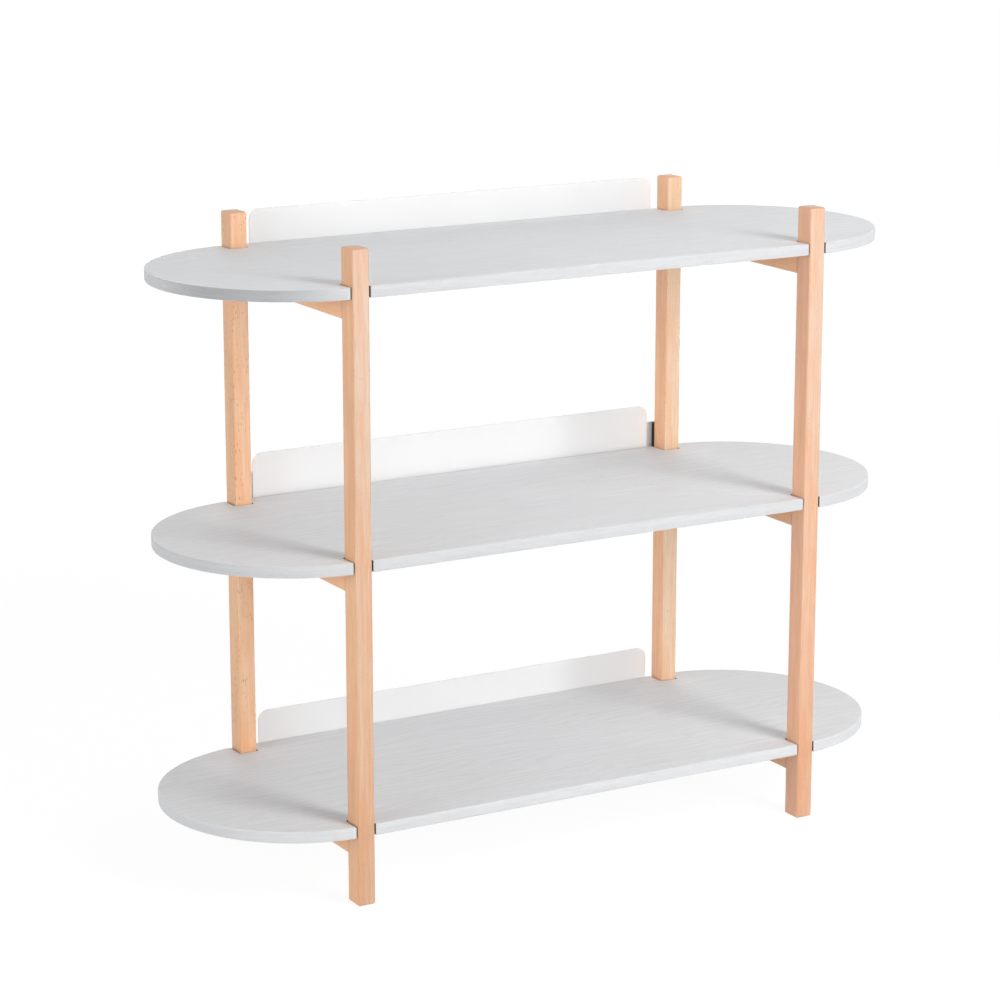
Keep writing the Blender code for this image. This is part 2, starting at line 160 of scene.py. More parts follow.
def runs_along(axis, length):
    """A test for edges that run along one axis and are about that long."""
    def test(edge):
        step = edge.verts[1].co - edge.verts[0].co
        return abs(abs(step[axis]) - length) < TINY and step.length < length + TINY
    return test


def cut_away(obj, tool):
    """Takes the tool's shape out of the object, and then the tool itself out of the scene."""
    only(obj)
    cut = obj.modifiers.new("Cut", "BOOLEAN")
    cut.operation = "DIFFERENCE"
    cut.solver = "EXACT"
    cut.object = tool
    bpy.ops.object.modifier_apply(modifier=cut.name)
    bpy.data.objects.remove(tool, do_unlink=True)


def joined(objects):
    deselect_all()
    for obj in objects:
        obj.select_set(True)
    bpy.context.view_layer.objects.active = objects[0]
    bpy.ops.object.join()
    return bpy.context.object


def smooth(obj, degrees):
    only(obj)
    bpy.ops.object.shade_smooth_by_angle(angle=math.radians(degrees))


def cylinder(name, radius, low, high, sides=ROUND_SIDES):
    """A cylinder between the middles of its two ends."""
    low, high = Vector(low), Vector(high)
    deselect_all()
    bpy.ops.mesh.primitive_cylinder_add(
        vertices=sides,
        radius=radius,
        depth=(high - low).length,
        location=(low + high) / 2,
        rotation=(high - low).to_track_quat("Z", "Y").to_euler(),
    )
    obj = bpy.context.object
    obj.name = name
    return settle(obj)


# Shader node groups


def new_group(name, inputs, outputs):
    """An empty group with named sockets; each is a name, a kind and, for an input, its value."""
    group = bpy.data.node_groups.new(name, "ShaderNodeTree")
    for label, kind, value in inputs:
        socket = group.interface.new_socket(label, in_out="INPUT", socket_type="NodeSocket" + kind)
        if value is not None:
            socket.default_value = value
    for label, kind in outputs:
        group.interface.new_socket(label, in_out="OUTPUT", socket_type="NodeSocket" + kind)
    build = Nodes(group)
    build.given = group.nodes.new("NodeGroupInput").outputs
    build.result = group.nodes.new("NodeGroupOutput").inputs
    return group, build


class Nodes:
    """Short ways to add and link nodes in one node tree."""

    def __init__(self, tree):
        self.tree = tree

    def link(self, source, target):
        self.tree.links.new(source, target)

    def add(self, kind, settings=None, **inputs):
        node = self.tree.nodes.new("ShaderNode" + kind)
        for name, value in (settings or {}).items():
            setattr(node, name, value)
        for name, value in inputs.items():
            self.feed(node.inputs[name.replace("_", " ")], value)
        return node

    def feed(self, socket, value):
        if isinstance(value, bpy.types.NodeSocket):
            self.link(value, socket)
        else:
            socket.default_value = value

    def math(self, operation, first, second=None):
        node = self.add("Math", {"operation": operation})
        self.feed(node.inputs[0], first)
        if second is not None:
            self.feed(node.inputs[1], second)
        return node.outputs[0]

    def stretched(self, vector, scale):
        return self.add("Mapping", Vector=vector, Scale=scale).outputs[0]

    def noise(self, vector, scale, detail=2.0, roughness=0.5, distortion=0.0):
        node = self.add(
            "TexNoise", Vector=vector, Scale=scale, Detail=detail, Roughness=roughness, Distortion=distortion
        )
        return node.outputs[0]

    def spread(self, value, low, high, start=0.0, end=1.0):
        """Maps low to start and high to end with soft ends, and stays between them."""
        node = self.add("MapRange", {"interpolation_type": "SMOOTHSTEP"}, Value=value)
        for name, number in (("From Min", low), ("From Max", high), ("To Min", start), ("To Max", end)):
            self.feed(node.inputs[name], number)
        return node.outputs[0]

    def mix(self, share, first, second, blend="MIX"):
        node = self.tree.nodes.new("ShaderNodeMix")
        node.data_type = "RGBA"
        node.blend_type = blend
        self.feed(node.inputs[0], share)
        self.feed(node.inputs[6], first)
        self.feed(node.inputs[7], second)
        return node.outputs[2]

    def shaded(self, colour, amount):
        """Multiplies a colour by one grey amount."""
        tone = self.add("CombineColor", Red=amount, Green=amount, Blue=amount).outputs[0]
        return self.mix(1.0, colour, tone, "MULTIPLY")

    def group(self, group, **inputs):
        node = self.tree.nodes.new("ShaderNodeGroup")
        node.node_tree = group
        for name, value in inputs.items():
            self.feed(node.inputs[name.replace("_", " ")], value)
        return node.outputs

    def bump(self, height, strength, distance):
        return self.add("Bump", Height=height, Strength=strength, Distance=distance).outputs[0]


# How the rings sway along the grain and across it, how strongly, and where the dark late wood begins
SWAY_STRETCH = (3.4, 10.0, 10.0)
SWAY_GAIN = 8.0
LATE_WOOD = 0.82


def make_growth_rings():
    """Growth rings cut lengthwise. The grain runs along X, and the tree's heart lies off to one side."""
    group, build = new_group(
        "Growth rings",
        [
            ("Vector", "Vector", None),
            ("Heart", "Vector", (0.0, 0.0, -0.02)),
            ("Tilt", "Float", 0.05),
            ("Spacing", "Float", 0.004),
            ("Wander", "Float", 0.006),
        ],
        [("Ring", "Float")],
    )
    given = build.given
    point = build.add("SeparateXYZ", Vector=given["Vector"]).outputs
    heart = build.add("SeparateXYZ", Vector=given["Heart"]).outputs
    sway = build.noise(build.stretched(given["Vector"], SWAY_STRETCH), 1.0, 3.0, 0.5)
    sway = build.math("MULTIPLY", build.math("SUBTRACT", sway, 0.5), given["Wander"])
    across = build.math("SUBTRACT", point[1], heart[1])
    along = build.math("MULTIPLY", build.math("SUBTRACT", point[0], heart[0]), given["Tilt"])
    depth = build.math("ADD", build.math("SUBTRACT", point[2], heart[2]), along)
    squares = build.math("ADD", build.math("MULTIPLY", across, across), build.math("MULTIPLY", depth, depth))
    reach = build.math("ADD", build.math("SQRT", squares), build.math("MULTIPLY", sway, SWAY_GAIN))
    phase = build.math("FRACT", build.math("DIVIDE", reach, given["Spacing"]))
    rise = build.spread(phase, 0.0, LATE_WOOD)
    drop = build.spread(phase, LATE_WOOD, 1.0, 1.0, 0.0)
    build.link(build.math("MULTIPLY", rise, drop), build.result["Ring"])
    return group


# How far fibres and streaks are drawn out along the grain, and how flecks fade from core to rim
FIBRE_SQUEEZE = (0.02, 1.0, 1.0)
STREAK_SQUEEZE = (0.035, 1.0, 1.0)
STREAK_SCALE = 190.0
FLECK_CORE = 0.12
FLECK_RIM = 0.34


def make_fibres():
    """Fine fibres and short pores or flecks that run along X."""
    group, build = new_group(
        "Fibres",
        [
            ("Vector", "Vector", None),
            ("Fibre Scale", "Float", 900.0),
            ("Fleck Scale", "Float", 420.0),
            ("Fleck Length", "Float", 6.0),
            ("Fleck Share", "Float", 0.3),
        ],
        [("Fibre", "Float"), ("Streak", "Float"), ("Fleck", "Float")],
    )
    given = build.given
    fine = build.stretched(given["Vector"], FIBRE_SQUEEZE)
    build.link(build.noise(fine, given["Fibre Scale"], 3.0, 0.65), build.result["Fibre"])
    broad = build.stretched(given["Vector"], STREAK_SQUEEZE)
    build.link(build.noise(broad, STREAK_SCALE, 2.0, 0.5), build.result["Streak"])
    shrink = build.math("DIVIDE", 1.0, given["Fleck Length"])
    squeeze = build.add("CombineXYZ", X=shrink, Y=1.0, Z=1.0).outputs[0]
    cells = build.add("VectorMath", {"operation": "MULTIPLY"})
    build.link(given["Vector"], cells.inputs[0])
    build.link(squeeze, cells.inputs[1])
    seeds = build.add("TexVoronoi", {"feature": "F1"}, Vector=cells.outputs[0], Scale=given["Fleck Scale"])
    pick_one = build.add("SeparateColor", Color=seeds.outputs["Color"]).outputs[0]
    kept = build.math("LESS_THAN", pick_one, given["Fleck Share"])
    body = build.spread(seeds.outputs["Distance"], FLECK_CORE, FLECK_RIM, 1.0, 0.0)
    build.link(build.math("MULTIPLY", kept, body), build.result["Fleck"])
    return group


def make_fine_texture():
    """The slight orange peel of a powder coat, or the grain of a moulded face."""
    group, build = new_group(
        "Fine texture",
        [("Vector", "Vector", None), ("Scale", "Float", 900.0)],
        [("Height", "Float"), ("Cloud", "Float")],
    )
    given = build.given
    build.link(build.noise(given["Vector"], given["Scale"], 2.0, 0.6), build.result["Height"])
    build.link(build.noise(given["Vector"], 6.0, 3.0, 0.5), build.result["Cloud"])
    return group


GROWTH_RINGS = make_growth_rings()
FIBRES = make_fibres()
FINE_TEXTURE = make_fine_texture()


def new_material(name):
    material = bpy.data.materials.new(name)
    material.use_nodes = True
    build = Nodes(material.node_tree)
    build.shader = material.node_tree.nodes["Principled BSDF"]
    return material, build


def object_point(build, place=(0.0, 0.0, 0.0), turn=(0.0, 0.0, 0.0)):
    """Object coordinates with a piece's centre as the origin, turned so that X runs along its grain."""
    coordinates = build.add("TexCoord").outputs["Object"]
    moved = build.add("VectorMath", {"operation": "SUBTRACT"})
    build.link(coordinates, moved.inputs[0])
    moved.inputs[1].default_value = place
    return build.add("Mapping", Vector=moved.outputs[0], Rotation=turn).outputs[0]


ALONG_Y = (0.0, 0.0, -math.pi / 2)
ALONG_Z = (0.0, math.pi / 2, 0.0)


def facing_front(build):
    """How squarely the surface faces the front or the back, from 0 on the sides to 1."""
    normal = build.add("TexCoord").outputs["Normal"]
    return build.math("ABSOLUTE", build.add("SeparateXYZ", Vector=normal).outputs[1])


def fibred(build, colour, fibres, limits, shade):
    """Puts dark and light fibres, within limits, and one shade over a colour."""
    darkest, lightest = (limit * shade for limit in limits)
    return build.shaded(colour, build.spread(fibres["Fibre"], 0.35, 0.65, darkest, lightest))


BEECH_GOLD = (0.768, 0.439, 0.230, 1.0)
BEECH_PINK = (0.746, 0.390, 0.204, 1.0)
# The pale and rose pair colours the front and back faces, and holds painted sheen of the light as well as
# their grain
BEECH_PALE_WITH_SHEEN = (0.655, 0.488, 0.358, 1.0)
BEECH_ROSE_WITH_SHEEN = (0.645, 0.428, 0.305, 1.0)
BEECH_BAND = (0.613, 0.318, 0.172, 1.0)
BEECH_DEEP = (0.648, 0.343, 0.188, 1.0)
BEECH_FLECK = (0.380, 0.165, 0.065, 1.0)
BEECH_FIBRES = (0.92, 1.06)
BEECH_ROUGHNESS = (0.40, 0.50)
END_GRAIN_SHADE = 0.9
BAND_SHARE = 0.32
DEEP_SHARE = 0.55
# How the broad darker drifts and the clusters of flecks are drawn out along the grain
DRIFT_STRETCH = (7.0, 34.0, 34.0)
CLUSTER_STRETCH = (9.0, 60.0, 60.0)
# Between these heights from a post's middle its front tint turns from the low one to the high one
TINT_LOW = -0.25
TINT_HIGH = 0.35


def beech(name, place, turn, plank, shade=1.0):
    """Lacquered beech: paler on the faces cut through the heart, and there also with painted sheen, pinker
    beside them, with short flecks.
    """
    material, build = new_material(name)
    point = object_point(build, place, turn)
    rings = build.group(
        GROWTH_RINGS, Vector=point, Heart=plank["heart"], Tilt=0.018, Spacing=0.0036, Wander=0.0018
    )
    fibres = build.group(
        FIBRES,
        Vector=point,
        Fibre_Scale=1500.0,
        Fleck_Scale=plank["fleck_scale"],
        Fleck_Length=4.5,
        Fleck_Share=plank["fleck_share"],
    )
    # Front and back faces turn paler: their grain, and painted sheen of the light on them
    radial_and_sheen = build.spread(facing_front(build), 0.25, 0.8)
    stripe = build.spread(fibres["Streak"], 0.40, 0.60)
    plain = build.mix(stripe, BEECH_GOLD, BEECH_PINK)
    pale = build.mix(stripe, BEECH_PALE_WITH_SHEEN, BEECH_ROSE_WITH_SHEEN)
    colour = build.mix(radial_and_sheen, plain, pale)
    colour = build.mix(build.math("MULTIPLY", rings["Ring"], BAND_SHARE), colour, BEECH_BAND)
    drift = build.noise(build.stretched(point, DRIFT_STRETCH), 1.0, 2.0, 0.5, 0.6)
    colour = build.mix(build.spread(drift, 0.4, 0.7, 0.0, DEEP_SHARE), colour, BEECH_DEEP)
    height = build.add("SeparateXYZ", Vector=point).outputs[0]
    # The tints hold painted light and shade as well as each plank's tone
    front_tint_and_light = build.mix(build.spread(height, TINT_LOW, TINT_HIGH), plank["low_tint_and_light"], plank["high_tint_and_light"])
    colour = build.mix(1.0, colour, build.mix(radial_and_sheen, plank["side_tint_and_light"], front_tint_and_light), "MULTIPLY")
    colour = fibred(build, colour, fibres, BEECH_FIBRES, shade)
    cluster = build.spread(build.noise(build.stretched(point, CLUSTER_STRETCH), 1.0, 1.0), 0.36, 0.56)
    fleck = build.math("MULTIPLY", fibres["Fleck"], cluster)
    colour = build.mix(build.math("MULTIPLY", fleck, plank["fleck_depth"]), colour, BEECH_FLECK)
    build.link(colour, build.shader.inputs["Base Color"])
    build.link(build.spread(fibres["Fibre"], 0.3, 0.7, *BEECH_ROUGHNESS), build.shader.inputs["Roughness"])
    build.link(build.bump(fibres["Fibre"], 0.12, 0.0002), build.shader.inputs["Normal"])
    return material


STAIN_LIGHT = (0.793, 0.803, 0.820, 1.0)
STAIN_MIDDLE = (0.745, 0.756, 0.774, 1.0)
STAIN_DARK = (0.670, 0.682, 0.701, 1.0)
STAIN_PORE = (0.552, 0.568, 0.588, 1.0)
STAIN_FIBRES = (0.965, 1.03)
STAIN_ROUGHNESS = (0.52, 0.62)
PORE_SHARE = 0.45
# Painted shade on one band: darker on the front of a shelf's left end, between these places in metres along
# the rim
STRIP_STARTS = 0.31
STRIP_FULL = 0.44
STRIP_FADES = 0.50
STRIP_ENDS = 0.63
STRIP_SHADE = 0.71


def stained(name, point_of, heart, tilt, figure, shade, painted_shade_strip=False):
    """Ash veneer under a light grey stain: low contrast, with open pores along the grain."""
    material, build = new_material(name)
    point = point_of(build)
    rings = build.group(GROWTH_RINGS, Vector=point, Heart=heart, Tilt=tilt, Spacing=0.013, Wander=0.016)
    fibres = build.group(
        FIBRES, Vector=point, Fibre_Scale=1300.0, Fleck_Scale=900.0, Fleck_Length=9.0, Fleck_Share=0.6
    )
    colour = build.mix(build.spread(fibres["Streak"], 0.3, 0.7), STAIN_LIGHT, STAIN_MIDDLE)
    colour = build.mix(build.math("MULTIPLY", rings["Ring"], figure), colour, STAIN_DARK)
    pores = build.math("MULTIPLY", fibres["Fleck"], build.spread(rings["Ring"], 0.1, 0.7, 0.35, 1.0))
    colour = build.mix(build.math("MULTIPLY", pores, PORE_SHARE), colour, STAIN_PORE)
    colour = fibred(build, colour, fibres, STAIN_FIBRES, shade)
    # Painted shade: the band goes darker along one stretch of its rim
    if painted_shade_strip:
        run = build.add("SeparateXYZ", Vector=point).outputs[0]
        strip = build.spread(run, STRIP_STARTS, STRIP_FULL, 1.0, STRIP_SHADE)
        fading = build.spread(run, STRIP_FADES, STRIP_ENDS, STRIP_SHADE, 1.0)
        colour = build.shaded(colour, build.math("MAXIMUM", strip, fading))
    build.link(colour, build.shader.inputs["Base Color"])
    build.link(build.spread(fibres["Fibre"], 0.3, 0.7, *STAIN_ROUGHNESS), build.shader.inputs["Roughness"])
    height = build.math("SUBTRACT", build.math("MULTIPLY", fibres["Fibre"], 0.4), pores)
    build.link(build.bump(height, 0.3, 0.0002), build.shader.inputs["Normal"])
    return material


def rim_point(build):
    """The rim's own UV map, in metres: along the edge, and up it."""
    return build.add("UVMap", {"uv_map": "Rim"}).outputs[0]


def veneered(level, place, heart_depth, tilt, figure, shade):
    """The veneer on one shelf's faces, its figure set out from a place of its own."""
    heart = (0.0, 0.0, heart_depth)
    return stained(f"grey_veneer_{level}", lambda b: object_point(b, place), heart, tilt, figure, shade)


def banded(level, start, shade, painted_shade_strip=False):
    """The band round one shelf's edge, its grain along the rim from a start of its own."""
    heart = (start, 0.05, -0.3)
    return stained(f"grey_edge_band_{level}", rim_point, heart, 0.01, 0.15, shade, painted_shade_strip)


def coated(name, colour, roughness, scale, strength):
    """Powder coat or moulded plastic: one colour with a faint cloud in it and a fine raised texture."""
    material, build = new_material(name)
    texture = build.group(FINE_TEXTURE, Vector=object_point(build), Scale=scale)
    cloud = build.spread(texture["Cloud"], 0.3, 0.7, 0.975, 1.0)
    build.link(build.shaded(colour, cloud), build.shader.inputs["Base Color"])
    rough = build.spread(texture["Height"], 0.3, 0.7, roughness - 0.04, roughness + 0.04)
    build.link(rough, build.shader.inputs["Roughness"])
    build.link(build.bump(texture["Height"], strength, 0.0001), build.shader.inputs["Normal"])
    return material


def plated(name, colour, stain, roughness):
    """Bright metal with a slightly cloudy film."""
    material, build = new_material(name)
    texture = build.group(FINE_TEXTURE, Vector=object_point(build), Scale=2500.0)
    film = build.noise(object_point(build), 260.0, 3.0)
    build.link(build.mix(build.spread(film, 0.35, 0.65), colour, stain), build.shader.inputs["Base Color"])
    rough = build.spread(film, 0.3, 0.7, roughness, roughness + 0.14)
    build.link(rough, build.shader.inputs["Roughness"])
    build.link(build.bump(texture["Height"], 0.1, 0.00005), build.shader.inputs["Normal"])
    build.shader.inputs["Metallic"].default_value = 1.0
    return material


# Finishes that several pieces share
# Each veneer's last number is its shade, painted shade and light: the bottom board, under the others,
# darker, the top one lighter
VENEER = {
    "bottom": veneered("bottom", (0.05, -0.10, 0.114), -0.02, 0.06, 0.34, 0.94),
    "middle": veneered("middle", (-0.2, -0.05, 0.482), -0.015, -0.05, 0.2, 1.0),
    "top": veneered("top", (0.1, 0.02, 0.850), -0.02, 0.045, 0.2, 1.03),
}
# Each band's number is its shade; the bottom band is set lighter than the two above as painted light
EDGE_BAND = {
    "bottom": banded("bottom", 0.0, 0.765),
    "middle": banded("middle", 0.3, 0.68),
    "top": banded("top", 0.6, 0.67, painted_shade_strip=True),
}
# The walls inside the notches round the posts are near black
NOTCH_WALL_BLACK = coated("black_notch_wall", (0.02, 0.018, 0.017, 1.0), 0.7, 700.0, 0.2)
WHITE_COAT = coated("white_powder_coat", (0.735, 0.735, 0.735, 1.0), 0.42, 1300.0, 0.12)
GREY_COAT = coated("grey_powder_coat", (0.70, 0.705, 0.715, 1.0), 0.5, 1300.0, 0.2)
BLACK_PLASTIC = coated("black_plastic", (0.022, 0.022, 0.023, 1.0), 0.55, 1600.0, 0.2)
ZINC = plated("zinc_plate", (0.66, 0.665, 0.66, 1.0), (0.60, 0.60, 0.57, 1.0), 0.28)
BRASS = plated("turned_brass", (0.72, 0.55, 0.28, 1.0), (0.62, 0.46, 0.22, 1.0), 0.25)


def dress(obj, *materials):
    obj.data.materials.clear()
    for material in materials:
        obj.data.materials.append(material)


def centre_of(node):
    low, high = BOX[node]
    return (Vector(low) + Vector(high)) / 2


# The planks that the sticks are cut from: where each tree's heart lay, its flecks, and the tints of its side
# faces and of its front and back faces, low down and high up. Besides each plank's own tone the tints hold
# painted light
# and shade: faces that get less light, such as the rear posts' and the rails' sides, are made lighter
PLANKS = {
    "front_left_post": {
        "heart": (0.0, 0.030, 0.018),
        "fleck_share": 0.12,
        "fleck_scale": 760.0,
        "fleck_depth": 0.6,
        "side_tint_and_light": (0.985, 1.015, 1.080, 1.0),
        "low_tint_and_light": (0.940, 0.860, 0.780, 1.0),
        "high_tint_and_light": (0.890, 0.900, 0.925, 1.0),
    },
    "front_right_post": {
        "heart": (0.0, -0.024, 0.030),
        "fleck_share": 0.10,
        "fleck_scale": 760.0,
        "fleck_depth": 0.6,
        "side_tint_and_light": (1.013, 1.025, 1.200, 1.0),
        "low_tint_and_light": (0.970, 0.830, 0.750, 1.0),
        "high_tint_and_light": (0.915, 0.931, 0.969, 1.0),
    },
    "rear_left_post": {
        "heart": (0.0, 0.040, -0.010),
        "fleck_share": 0.65,
        "fleck_scale": 470.0,
        "fleck_depth": 0.85,
        "side_tint_and_light": (0.952, 1.033, 1.114, 1.0),
        "low_tint_and_light": (1.142, 1.035, 0.910, 1.0),
        "high_tint_and_light": (1.142, 1.035, 0.910, 1.0),
    },
    "rear_right_post": {
        "heart": (0.0, -0.035, -0.022),
        "fleck_share": 0.15,
        "fleck_scale": 640.0,
        "fleck_depth": 0.6,
        "side_tint_and_light": (1.180, 1.210, 1.320, 1.0),
        "low_tint_and_light": (1.096, 1.150, 1.133, 1.0),
        "high_tint_and_light": (1.096, 1.150, 1.133, 1.0),
    },
    "rail": {
        "heart": (0.0, 0.028, 0.020),
        "fleck_share": 0.2,
        "fleck_scale": 700.0,
        "fleck_depth": 0.6,
        "side_tint_and_light": (1.120, 1.140, 1.170, 1.0),
        "low_tint_and_light": (1.000, 1.000, 1.000, 1.0),
        "high_tint_and_light": (1.000, 1.000, 1.000, 1.0),
    },
}


def make_posts():
    for node in POSTS:
        wood = beech("beech_" + node, centre_of(node), ALONG_Z, PLANKS[node])
        ends = beech("beech_end_" + node, centre_of(node), ALONG_Z, PLANKS[node], END_GRAIN_SHADE)
        make_post(node, wood, ends)


def dress_kept_nodes():
    """Finishes for the pieces whose meshes stay as they come: rails, panels, brace, spacers and inserts."""
    for node in RAILS:
        dress(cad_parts[node], beech("beech_" + node, centre_of(node), ALONG_Y, PLANKS["rail"]))
    for node in PANELS:
        dress(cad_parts[node], WHITE_COAT)
    dress(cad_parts["rear_brace"], GREY_COAT)
    for side in SIDES:
        dress(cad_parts[f"{side}_brace_spacer"], BLACK_PLASTIC)
    for name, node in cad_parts.items():
        if name.endswith("_insert"):
            dress(node, BRASS)


def drilled_from_behind(screw, shank):
    """The hole for one screw that goes in from behind, a little deeper than its tip."""
    low, high = (Vector(corner) for corner in BOX[screw])
    x, z = (low.x + high.x) / 2, (low.z + high.z) / 2
    tip, mouth = (x, low.y - HOLE_END_ROOM, z), (x, high.y + OVERCUT, z)
    return cylinder("Hole", shank / 2 + FIT, tip, mouth, HOLE_SIDES)


def mortise_cutter(rail, post):
    """The round-edged socket that a rail's tenon fills in one post."""
    low, high = (Vector(corner) for corner in BOX[rail])
    post_low, post_high = BOX[post]
    middle = (low + high) / 2
    low.x, high.x = (middle.x + way * (TENON_WIDTH / 2 + FIT) for way in (-1, 1))
    low.z, high.z = (middle.z + way * (TENON_HEIGHT / 2 + FIT) for way in (-1, 1))
    if post.startswith("front"):
        low.y, high.y = low.y - HOLE_END_ROOM, post_high[1] + OVERCUT
    else:
        low.y, high.y = post_low[1] - OVERCUT, high.y + HOLE_END_ROOM
    cutter = block("Mortise", low, high)
    pick(cutter, "EDGE", runs_along(1, high.y - low.y))
    bpy.ops.mesh.bevel(offset=TENON_ROUND + FIT, segments=ARRIS_STEPS)
    leave_edit()
    return cutter


def make_post(node, wood, end_wood):
    """A post with rounded arrises and ends, and sockets for the rails and the brace's screws."""
    low, high = BOX[node]
    post = block(node.replace("_post", "_beech_post"), low, high)
    pick(post, "EDGE", lambda edge: True)
    bpy.ops.mesh.bevel(offset=POST_ROUND, segments=ARRIS_STEPS)
    leave_edit()
    side = node.split("_")[1]
    tools = [mortise_cutter(f"{side}_{level}_rail", node) for level in LEVELS]
    if node.startswith("rear"):
        for where in ("lower", "upper"):
            tools.append(drilled_from_behind(f"{side}_brace_screw_{where}", BRACE_SCREW_SHANK))
    cut_away(post, joined(tools))
    smooth(post, BOARD_SMOOTHING)
    dress(post, wood, end_wood)
    for face in post.data.polygons:
        between = low[2] + POST_ROUND <= face.center.z <= high[2] - POST_ROUND
        if abs(face.normal.z) > SQUARELY and not between:
            face.material_index = 1
    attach(post, "root")
    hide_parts(node)


def notch_cutter(post, level):
    """The clearance round one post: its sides, its inner face, and on out past the shelf's edge."""
    low, high = (Vector(corner) for corner in BOX[post])
    board_low, board_high = BOX[f"{level}_shelf"]
    low.x -= NOTCH_SIDE_GAP
    high.x += NOTCH_SIDE_GAP
    if post.startswith("front"):
        high.y += NOTCH_BACK_GAP
        low.y -= OVERCUT
    else:
        low.y -= NOTCH_BACK_GAP
        high.y += OVERCUT
    low.z, high.z = board_low[2] - OVERCUT, board_high[2] + OVERCUT
    cutter = block("Notch", low, high)
    pick(cutter, "EDGE", runs_along(2, high.z - low.z))
    bpy.ops.mesh.bevel(offset=NOTCH_ROUND, segments=NOTCH_STEPS)
    leave_edit()
    return cutter


def rim_run(x, y, low, high):
    """How far along the shelf's rim a point lies, in metres, going round from the rear left notch."""
    middle, radius = (low[1] + high[1]) / 2, (high[1] - low[1]) / 2
    straight = (high[0] - low[0]) / 2 - radius
    if x < -straight:
        return radius * math.atan2(-(x + straight), y - middle)
    if x > straight:
        return radius * math.pi + 2 * straight + radius * math.atan2(x - straight, middle - y)
    if y < middle:
        return radius * math.pi + x + straight
    return 2 * radius * math.pi + 3 * straight - x


def map_rim(obj, low, high):
    """Gives the shelf a UV map that runs along its rim, so that the edge band's grain follows the curve."""
    layer = obj.data.uv_layers.new(name="Rim")
    for loop in obj.data.loops:
        point = obj.data.vertices[loop.vertex_index].co
        layer.data[loop.index].uv = (rim_run(point.x, point.y, low, high), point.z)


def in_notch(point, low, high):
    """Whether a point on the shelf's upright faces lies inside one of its notches."""
    for post in POSTS:
        post_low, post_high = BOX[post]
        margin = NOTCH_SIDE_GAP + SHELF_EASE / 2
        beside = post_low[0] - margin < point.x < post_high[0] + margin
        edge = low[1] if post.startswith("front") else high[1]
        if beside and SHELF_EASE < abs(point.y - edge) < post_high[1] - post_low[1] + NOTCH_FACE_REACH:
            return True
    return False


def make_shelf(level):
    node = f"{level}_shelf"
    low, high = BOX[node]
    shelf = block(f"{level}_shelf_board", low, high)
    thickness, radius = high[2] - low[2], (high[1] - low[1]) / 2
    pick(shelf, "EDGE", runs_along(2, thickness))
    bpy.ops.mesh.bevel(offset=radius - TINY, segments=END_STEPS)
    bpy.ops.mesh.select_all(action="SELECT")
    bpy.ops.mesh.remove_doubles(threshold=MERGED)
    leave_edit()
    cut_away(shelf, joined([notch_cutter(post, level) for post in POSTS]))
    pick(shelf, "EDGE", lambda edge: True)
    bpy.ops.mesh.remove_doubles(threshold=TINY)
    bpy.ops.mesh.dissolve_limited(angle_limit=math.radians(FLAT_ANGLE))
    leave_edit()
    sharp = math.radians(SHARP_EDGE)
    pick(shelf, "EDGE", lambda edge: edge.is_manifold and edge.calc_face_angle() > sharp)
    bpy.ops.mesh.bevel(offset=SHELF_EASE, segments=EASE_STEPS)
    leave_edit()
    holes = []
    for side in SIDES:
        for end in ("front", "rear"):
            insert_low, insert_high = (Vector(c) for c in BOX[f"{side}_{level}_{end}_insert"])
            x, y = (insert_low.x + insert_high.x) / 2, (insert_low.y + insert_high.y) / 2
            bore = (insert_high.x - insert_low.x) / 2 + FIT
            mouth, end_of_hole = (x, y, low[2] - OVERCUT), (x, y, insert_high.z + HOLE_END_ROOM)
            holes.append(cylinder("Hole", bore, mouth, end_of_hole))
    for screw in sorted(name for name in BOX if name.startswith(f"{level}_panel_screw_")):
        holes.append(drilled_from_behind(screw, PANEL_SCREW_SHANK))
    cut_away(shelf, joined(holes))
    smooth(shelf, BOARD_SMOOTHING)
    map_rim(shelf, low, high)
    dress(shelf, VENEER[level], EDGE_BAND[level], NOTCH_WALL_BLACK)
    for face in shelf.data.polygons:
        if abs(face.normal.z) < RIM_SLOPE:
            face.material_index = 2 if in_notch(face.center, low, high) else 1
    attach(shelf, "root")
    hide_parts(node)


def headed_pin(name, head_radius, head_height, shank_radius, length, head):
    """A screw or bolt standing on its tip, its head's seat at Z 0: domed or straight head, hex socket."""
    rim_height = head_height * head["rim_height"]
    crown_radius = head_radius * head["crown_radius"]
    pin = cylinder(name, head_radius, (0, 0, 0), (0, 0, rim_height))
    pick(pin, "FACE", lambda face: face.normal.z > SQUARELY)
    reached = head_radius
    for i in range(1, DOME_STEPS + 1):
        angle = math.pi / 2 * i / DOME_STEPS
        rise = (head_height - rim_height) * (math.sin(angle) - math.sin(angle - math.pi / 2 / DOME_STEPS))
        radius = crown_radius + (head_radius - crown_radius) * math.cos(angle)
        bpy.ops.mesh.extrude_region_move(TRANSFORM_OT_translate={"value": (0, 0, rise)})
        bpy.ops.transform.resize(value=(radius / reached, radius / reached, 1))
        reached = radius
    leave_edit()
    pick(pin, "FACE", lambda face: face.normal.z < -SQUARELY)
    bpy.ops.mesh.inset(thickness=head_radius - shank_radius)
    tip = shank_radius * TIP_HEIGHT
    bpy.ops.mesh.extrude_region_move(TRANSFORM_OT_translate={"value": (0, 0, tip - length)})
    bpy.ops.mesh.extrude_region_move(TRANSFORM_OT_translate={"value": (0, 0, -tip)})
    bpy.ops.transform.resize(value=(TIP_RADIUS, TIP_RADIUS, 1))
    leave_edit()
    depth = head_height * SOCKET_DEPTH
    bottom, mouth = (0, 0, head_height - depth), (0, 0, head_height + depth)
    cut_away(pin, cylinder("Socket", head_radius * SOCKET_RADIUS, bottom, mouth, 6))
    smooth(pin, PIN_SMOOTHING)
    return pin


